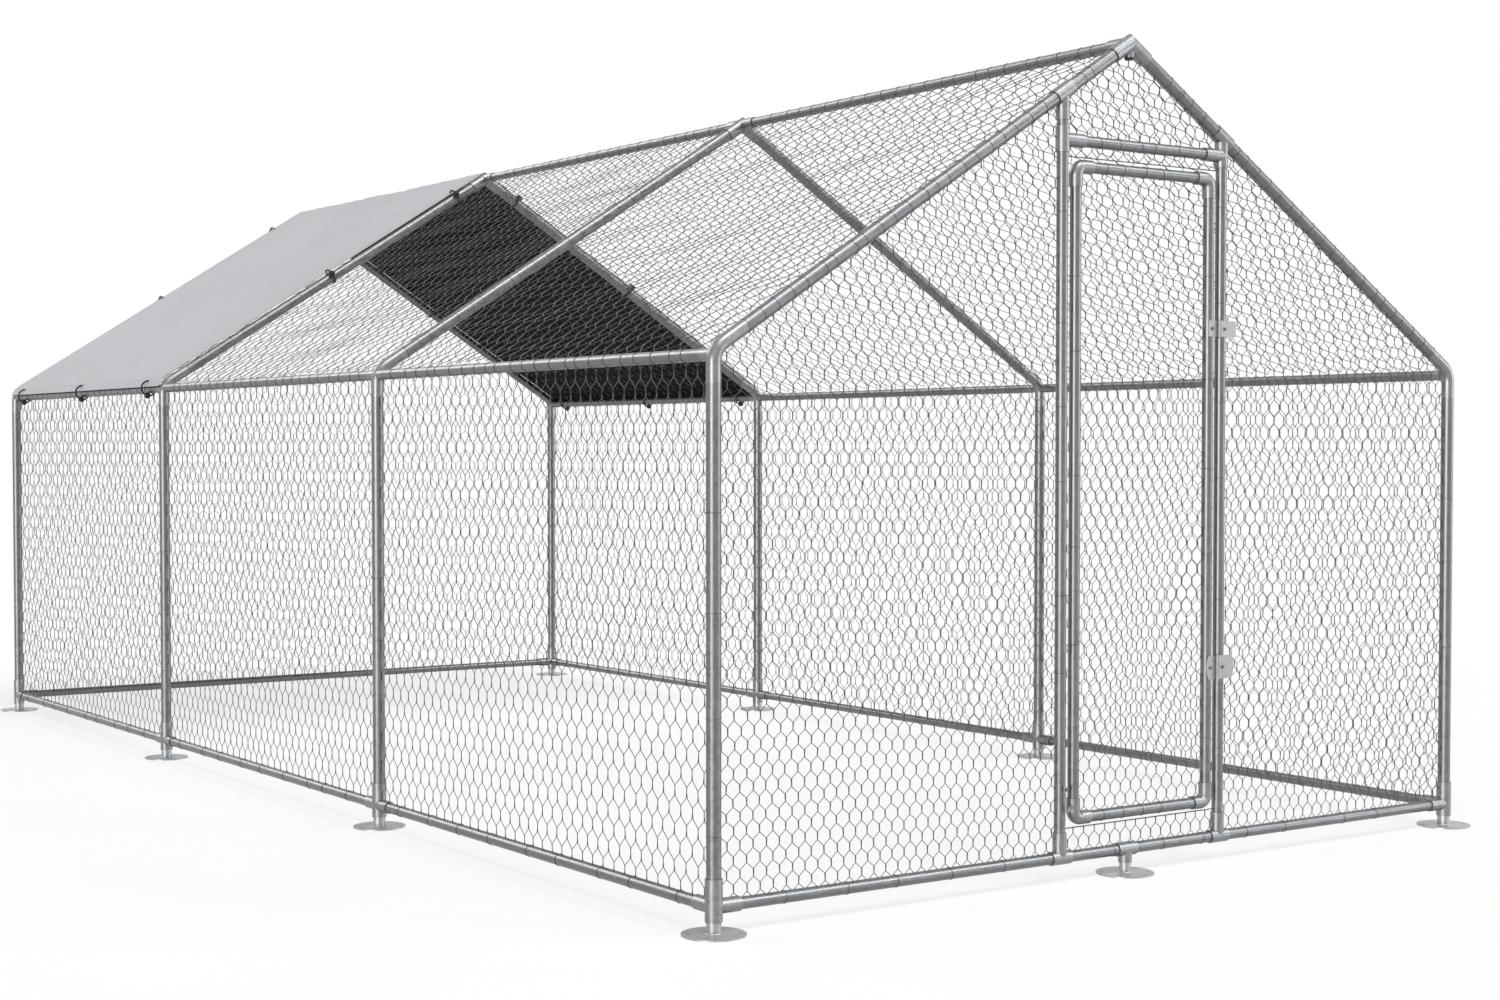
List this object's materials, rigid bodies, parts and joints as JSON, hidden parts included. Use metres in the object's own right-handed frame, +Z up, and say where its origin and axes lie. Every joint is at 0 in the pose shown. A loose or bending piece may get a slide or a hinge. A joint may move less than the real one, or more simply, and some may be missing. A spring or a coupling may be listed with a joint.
{
  "type": "walk-in chicken run",
  "caption": "Walk-in poultry run of galvanised tube with a gable roof, hexagonal wire netting, a hinged door with a wire hook, and a tarpaulin shade over the rear bay.",
  "frame": {"origin": "on the ground, midway between the four corner feet", "axes": "+Z up; +Y along the run, from the door end to the shaded end; +X to the right seen from the door end"},
  "size_m": [2.964, 5.8638, 2.3586],
  "materials": {
    "galvanised_tube": "galvanised, satin",
    "galvanised_fitting": "galvanised, satin",
    "galvanised_wire": "galvanised wire",
    "zinc_hardware": "zinc plated",
    "tarp_fabric": "coated weave, silver outside and black inside",
    "black_elastic": "matte",
    "black_plastic": "moulded"
  },
  "bodies": {
    "frame": {"post_left_1": "galvanised_tube", "post_left_2": "galvanised_tube", "post_left_3": "galvanised_tube", "post_left_4": "galvanised_tube", "post_right_1": "galvanised_tube", "post_right_2": "galvanised_tube", "post_right_3": "galvanised_tube", "post_right_4": "galvanised_tube", "rafter_left_1": "galvanised_tube", "rafter_left_2": "galvanised_tube", "rafter_left_3": "galvanised_tube", "rafter_left_4": "galvanised_tube", "rafter_right_1": "galvanised_tube", "rafter_right_2": "galvanised_tube", "rafter_right_3": "galvanised_tube", "rafter_right_4": "galvanised_tube", "eave_bends_left": "galvanised_fitting", "eave_bends_right": "galvanised_fitting", "ridge_bends": "galvanised_fitting", "ridge_plugs": "black_plastic", "ridge_tubes": "galvanised_tube", "eave_tubes_left": "galvanised_tube", "eave_tubes_right": "galvanised_tube", "base_tubes_left": "galvanised_tube", "base_tubes_right": "galvanised_tube", "base_tube_front": "galvanised_tube", "base_tube_rear": "galvanised_tube", "base_corner_fittings": "galvanised_fitting", "base_side_tees": "galvanised_fitting", "foot_plates": "galvanised_fitting", "centre_foot": "galvanised_fitting", "centre_foot_tee": "galvanised_fitting", "door_jamb_left": "galvanised_tube", "door_jamb_right": "galvanised_tube", "door_lintel": "galvanised_tube", "jamb_base_tees": "galvanised_fitting", "jamb_top_tees": "galvanised_fitting", "lintel_tee": "galvanised_fitting", "net_wall_left": "galvanised_wire", "net_wall_right": "galvanised_wire", "net_roof_left": "galvanised_wire", "net_roof_right": "galvanised_wire", "net_front_left": "galvanised_wire", "net_front_right": "galvanised_wire", "net_front_gable": "galvanised_wire", "net_door_strips": "galvanised_wire", "net_rear": "galvanised_wire", "tarp": "tarp_fabric", "tarp_tie_loops": "black_elastic", "tarp_tie_balls": "black_elastic", "hinge_jamb_leaves": "zinc_hardware", "hinge_pins": "zinc_hardware", "jamb_bolts": "zinc_hardware"},
    "door": {"door_stiles": "galvanised_tube", "door_rails": "galvanised_tube", "door_elbows": "galvanised_fitting", "door_net": "galvanised_wire", "hinge_door_leaves": "zinc_hardware", "door_bolts": "zinc_hardware"},
    "hook": {"door_hook": "zinc_hardware"}
  },
  "joints": [
    {"name": "door_hinge", "type": "hinge", "parent": "frame", "child": "door", "pos_m": [0.345, -2.872, 1.055], "axis": [0, 0, 1], "range_deg": [0, 170]},
    {"name": "hook_swing", "type": "hinge", "parent": "frame", "child": "hook", "pos_m": [-0.25, -2.87355, 0.262], "axis": [0, -1, 0], "range_deg": [0, 90]}
  ]
}
